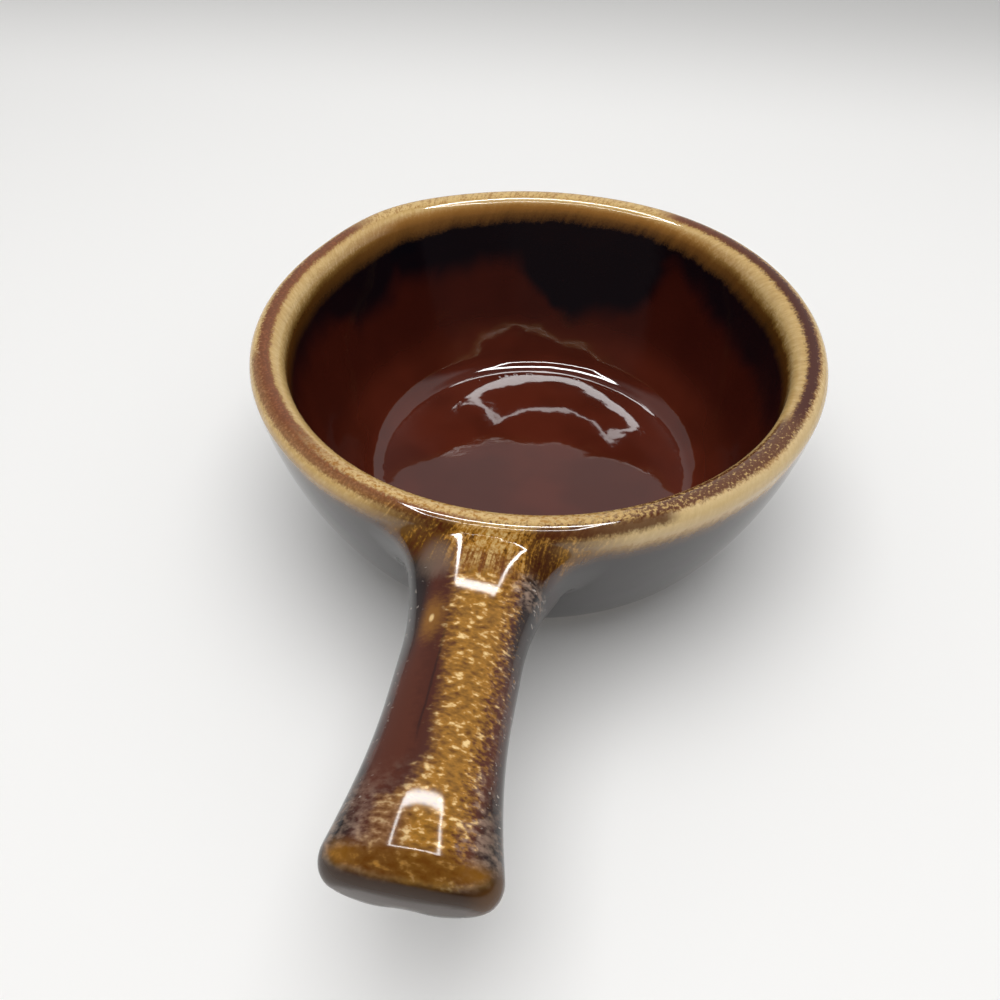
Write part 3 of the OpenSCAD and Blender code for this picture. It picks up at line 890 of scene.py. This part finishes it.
def turning_tree():
    """Node tree that turns a profile, a row of points with height along Z, round the Z axis."""
    tree = bpy.data.node_groups.new("turn_profile", "GeometryNodeTree")
    face = tree.interface
    face.new_socket("Profile", in_out="INPUT", socket_type="NodeSocketGeometry")
    steps = face.new_socket("Steps Round", in_out="INPUT", socket_type="NodeSocketInt")
    steps.default_value, steps.min_value = 192, 8
    weld = face.new_socket("Weld Distance", in_out="INPUT", socket_type="NodeSocketFloat")
    weld.subtype = "DISTANCE"
    weld.default_value = 0.001 * MM
    face.new_socket("Finish", in_out="INPUT", socket_type="NodeSocketMaterial")
    face.new_socket("Turned Piece", in_out="OUTPUT", socket_type="NodeSocketGeometry")
    g = Graph(tree)

    def count(operation, a, b):
        return g.add("FunctionNodeIntegerMath", {0: a, 1: b}, operation=operation).outputs[0]

    def shape(kind, geometry, **inputs):
        return g.add(kind, {"Geometry": geometry, **inputs}).outputs[0]

    given = g.add("NodeGroupInput").outputs
    profile, around = given["Profile"], given["Steps Round"]
    points = g.add("GeometryNodeAttributeDomainSize", {"Geometry": profile}, component="MESH")
    rows = count("ADD", around, 1)
    grid = g.add("GeometryNodeMeshGrid", {"Vertices X": points.outputs["Point Count"], "Vertices Y": rows})
    index = g.add("GeometryNodeInputIndex").outputs[0]
    sample = g.add("GeometryNodeSampleIndex", {
        "Geometry": profile, "Value": g.add("GeometryNodeInputPosition").outputs[0],
        "Index": count("DIVIDE_FLOOR", index, rows)}, data_type="FLOAT_VECTOR", domain="POINT")
    turn = g.times(g.math("DIVIDE", count("MODULO", index, rows), around), 2 * math.pi)
    spin = g.add("ShaderNodeVectorRotate", {"Vector": sample.outputs[0], "Angle": turn},
                 rotation_type="Z_AXIS")
    piece = shape("GeometryNodeSetPosition", grid.outputs["Mesh"], Position=spin.outputs[0])
    piece = shape("GeometryNodeMergeByDistance", piece, Distance=given["Weld Distance"])
    piece = shape("GeometryNodeSetShadeSmooth", piece)
    piece = shape("GeometryNodeRealizeInstances", piece)
    piece = shape("GeometryNodeSetMaterial", piece, Material=given["Finish"])
    g.add("NodeGroupOutput", {"Turned Piece": piece})
    return tree


def turned_mesh(name, profile, material):
    """Plain closed mesh of a profile of (radius, height) points turned round the Z axis."""
    line = bpy.data.meshes.new(name + "_profile")
    line.from_pydata([(r, 0.0, z) for r, z in profile], [(i, i + 1) for i in range(len(profile) - 1)], [])
    blank = bpy.data.objects.new(name + "_blank", line)
    bpy.context.scene.collection.objects.link(blank)
    tree = bpy.data.node_groups.get("turn_profile") or turning_tree()
    lathe = blank.modifiers.new("lathe", "NODES")
    lathe.node_group = tree
    sockets = {item.name: item.identifier for item in tree.interface.items_tree if item.in_out == "INPUT"}
    lathe[sockets["Finish"]] = material
    done = blank.evaluated_get(bpy.context.evaluated_depsgraph_get())
    mesh = bpy.data.meshes.new_from_object(done)
    mesh.name = name
    blank.modifiers.remove(lathe)
    bpy.data.objects.remove(blank)
    bpy.data.meshes.remove(line)
    outward(mesh)
    return mesh


def outward(mesh):
    """Turns every face of a closed mesh outwards."""
    work = bmesh.new()
    work.from_mesh(mesh)
    bmesh.ops.recalc_face_normals(work, faces=work.faces)
    work.to_mesh(mesh)
    work.free()


def arc_points(centre, radius, start, stop, steps=6):
    """Points along an arc, with its angles in degrees."""
    turns = [math.radians(start + (stop - start) * i / steps) for i in range(steps + 1)]
    return [polar(centre, radius, turn) for turn in turns]


def add_material(mesh, material):
    """Gives a mesh its one material."""
    mesh.materials.clear()
    mesh.materials.append(material)


class SOUPBOWL_OT_glaze_coat(Operator):
    """Glazed surface of the bowl and its handle, one unbroken coat with a soft fillet at the root"""

    bl_idname = "soup_bowl.glaze_coat"
    bl_label = "Glazed bowl and handle"

    def execute(self, context):
        setup = context.scene.soup_bowl
        coat = Coat(setup.bowl, setup.handle)
        step = setup.mesh_step
        margin = 3 * step
        low = np.array(LOW) - margin
        low[2] = setup.bowl.foot_h - margin
        counts = np.ceil((np.array(HIGH) + margin - low) / step).astype(int) + 1
        lines = [low[k] + step * np.arange(counts[k]) for k in range(3)]
        gap = np.empty(counts)
        for i, x in enumerate(lines[0]):
            gap[i] = coat.gap(np.stack(np.meshgrid([x], lines[1], lines[2], indexing="ij"), axis=-1)[0])
        points, faces = net_surface(gap, low, step)
        points = settle(coat, points, faces, setup.relax_rounds)
        _, run, own = coat.measure(points)
        normals = coat.slope(points)
        normals /= np.linalg.norm(normals, axis=1)[:, None]
        mesh = bpy.data.meshes.new("glaze_coat")
        mesh.from_pydata(points.tolist(), [], faces.tolist())
        for name, values in (("run", run / MM), ("reach", own / MM)):
            layer = mesh.attributes.new(name, "FLOAT", "POINT")
            layer.data.foreach_set("value", values.astype(np.float32))
        mesh.shade_smooth()
        mesh.normals_split_custom_set_from_vertices(normals.tolist())
        add_material(mesh, glaze_material(setup.glaze))
        add_piece("glaze_coat", mesh,
                  ("handle", "handle_slip", "liner_glaze", "outer_glaze", "rim_glaze", "handle_glaze",
                   "handle_drip"))
        return {"FINISHED"}


class SOUPBOWL_OT_stoneware(Operator):
    """Bare clay of the foot ring and of the floor above its hollow"""

    bl_idname = "soup_bowl.stoneware"
    bl_label = "Bare stoneware foot"

    def execute(self, context):
        setup = context.scene.soup_bowl
        bowl = setup.bowl
        outer = bowl.foot_r - bowl.glaze_t * math.sin(bowl.turn_slope)
        inner, edge = outer - bowl.foot_w, bowl.foot_edge_r
        top = bowl.foot_h + bowl.glaze_t
        profile = [(0.0, bowl.recess)]
        profile += arc_points((inner - edge, bowl.recess - edge), edge, 90, 0)
        profile += arc_points((inner + edge, edge), edge, 180, 270)
        profile += arc_points((outer - edge, edge), edge, -90, 0)
        profile += [(outer, bowl.foot_h), (outer - bowl.glaze_t, top), (0.0, top)]
        mesh = turned_mesh("stoneware_foot", profile, clay_material(setup.glaze))
        add_piece("stoneware_foot", mesh, ("bowl_body",))
        return {"FINISHED"}


class SOUPBOWL_OT_base_glaze(Operator):
    """Glaze pooled in the hollow inside the foot ring"""

    bl_idname = "soup_bowl.base_glaze"
    bl_label = "Glaze under the foot"

    def execute(self, context):
        setup = context.scene.soup_bowl
        bowl = setup.bowl
        reach, lens = BASE_HIGH.x, bowl.glaze_t
        sunk = bowl.recess + 0.2 * MM
        profile = [(0.0, bowl.recess - lens)]
        profile += arc_points((reach - lens, bowl.recess), lens, -90, 0)
        profile += [(reach, sunk), (0.0, sunk)]
        mesh = turned_mesh("base_glaze_pool", profile, base_material(setup.glaze))
        add_piece("base_glaze_pool", mesh, ("base_glaze",))
        return {"FINISHED"}


def add_area(name, place, width, depth, power):
    """Rectangular lamp at a place, facing down, with its width along the handle."""
    data = bpy.data.lights.new(name, "AREA")
    data.shape = "RECTANGLE"
    data.size, data.size_y = width, depth
    data.energy = power
    lamp = bpy.data.objects.new(name, data)
    lamp.location = place
    lamp.rotation_euler = Vector((0, 0, -1)).to_track_quat("-Z", "Y").to_euler()
    bpy.context.scene.collection.objects.link(lamp)
    return lamp


class SOUPBOWL_OT_stage(Operator):
    """Pale floor, soft studio lamps and the camera"""

    bl_idname = "soup_bowl.stage"
    bl_label = "Floor, lamps and camera"

    def execute(self, context):
        scene = context.scene
        setup = scene.soup_bowl
        studio = setup.studio
        scene.view_settings.view_transform = "Standard"
        self.add_floor(studio)
        self.add_sky(scene, studio)
        self.add_lamps(studio)
        self.add_camera(scene, studio, setup.bowl)
        return {"FINISHED"}

    def add_floor(self, studio):
        count = 96
        ring = arc_points((0.0, 0.0), studio.floor_r, 0, 360 * (count - 1) / count, count - 1)
        mesh = bpy.data.meshes.new("table")
        mesh.from_pydata([(u, v, 0.0) for u, v in ring], [], [list(range(count))])
        add_material(mesh, floor_material(studio))
        table = bpy.data.objects.new("table", mesh)
        bpy.context.scene.collection.objects.link(table)

    def add_sky(self, scene, studio):
        """Even sky, which the glaze mirrors dim behind the camera, overhead and on the camera's left."""
        world = bpy.data.worlds.new("soft_sky")
        world.use_nodes = True
        g = Graph(world.node_tree)
        x, y, z = g.split(g.add("ShaderNodeTexCoord").outputs["Generated"])
        mirrored = g.times(g.step(x, -0.05, 0.25, studio.seen, studio.dim),
                           g.step(z, 0.86, 0.93, 1.0, studio.roof),
                           g.step(y, -0.5, -0.15, studio.gloom, 1.0))
        light = g.add("ShaderNodeBackground", {"Strength": studio.sky})
        seen = g.add("ShaderNodeBackground", {"Strength": mirrored})
        backdrop = g.add("ShaderNodeBackground", {"Color": studio.backdrop})
        ray = g.add("ShaderNodeLightPath").outputs
        mirror = g.math("MAXIMUM", ray["Is Glossy Ray"], ray["Is Transmission Ray"])
        shown = light.outputs[0]
        for share_seen, look in ((mirror, seen), (ray["Is Camera Ray"], backdrop)):
            shown = g.add("ShaderNodeMixShader", {0: share_seen, 1: shown, 2: look.outputs[0]}).outputs[0]
        g.add("ShaderNodeOutputWorld", {"Surface": shown})
        scene.world = world

    def add_lamps(self, studio):
        """Soft panel that lights the table, and a bright rectangular frame that only the glaze mirrors."""
        panel_at = (studio.panel_x, 0.0, studio.panel_z)
        panel = add_area("overhead_panel", panel_at, studio.panel_w, studio.panel_w, studio.panel_power)
        panel.visible_glossy = False
        middle = Vector((studio.lamp_x, studio.lamp_y, studio.lamp_z))
        length, width = studio.lamp_l, studio.lamp_w
        for name, shift, wide, deep in (
                ("frame_near", (length / 2, 0), studio.lamp_front, width),
                ("frame_left", (0, -width / 2), length, studio.lamp_bar),
                ("frame_right", (0, width / 2), length, studio.lamp_bar),
                ("frame_far", (-length / 2, 0), studio.lamp_block, width)):
            power = studio.lamp_glow * math.pi * wide * deep
            lamp = add_area(name, middle + Vector((*shift, 0.0)), wide, deep, power)
            lamp.visible_diffuse = False

    def add_camera(self, scene, studio, bowl):
        flat, rise = math.cos(studio.pitch), math.sin(studio.pitch)
        back = Vector((flat * math.cos(studio.turn), flat * math.sin(studio.turn), rise))
        right = Vector((-math.sin(studio.turn), math.cos(studio.turn), 0.0))
        up = back.cross(right)
        target = Vector((0.0, 0.0, bowl.height - bowl.lip_out_r))
        place = target + back * studio.distance + right * studio.aside + up * studio.lift
        data = bpy.data.cameras.new("camera")
        data.lens, data.sensor_width = studio.lens, 36.0
        data.clip_start = 0.01
        camera = bpy.data.objects.new("camera", data)
        camera.matrix_world = Matrix.Translation(place) @ Matrix((right, up, back)).transposed().to_4x4()
        scene.collection.objects.link(camera)
        scene.camera = camera


class SOUPBOWL_PT_panel(Panel):
    """Builds the soup bowl piece by piece"""

    bl_idname = "SOUPBOWL_PT_panel"
    bl_label = "Soup Bowl"
    bl_space_type = "VIEW_3D"
    bl_region_type = "UI"
    bl_category = "Soup Bowl"

    def draw(self, context):
        layout = self.layout
        setup = context.scene.soup_bowl
        for step in STEPS:
            layout.operator(step.bl_idname)
        layout.prop(setup, "mesh_step")
        layout.prop(setup, "relax_rounds")
        for group in (setup.bowl, setup.handle, setup.glaze, setup.studio):
            box = layout.box()
            for name in group.__annotations__:
                box.prop(group, name)


STEPS = (SOUPBOWL_OT_glaze_coat, SOUPBOWL_OT_stoneware, SOUPBOWL_OT_base_glaze, SOUPBOWL_OT_stage)
CLASSES = (BowlShape, HandleShape, GlazeLook, StudioLook, SoupBowl, *STEPS, SOUPBOWL_PT_panel)


def register():
    for each in CLASSES:
        bpy.utils.register_class(each)
    bpy.types.Scene.soup_bowl = PointerProperty(type=SoupBowl)


def unregister():
    del bpy.types.Scene.soup_bowl
    for each in reversed(CLASSES):
        bpy.utils.unregister_class(each)


def main():
    register()
    bpy.ops.soup_bowl.glaze_coat()
    bpy.ops.soup_bowl.stoneware()
    bpy.ops.soup_bowl.base_glaze()
    bpy.ops.soup_bowl.stage()


if __name__ == "__main__":
    main()
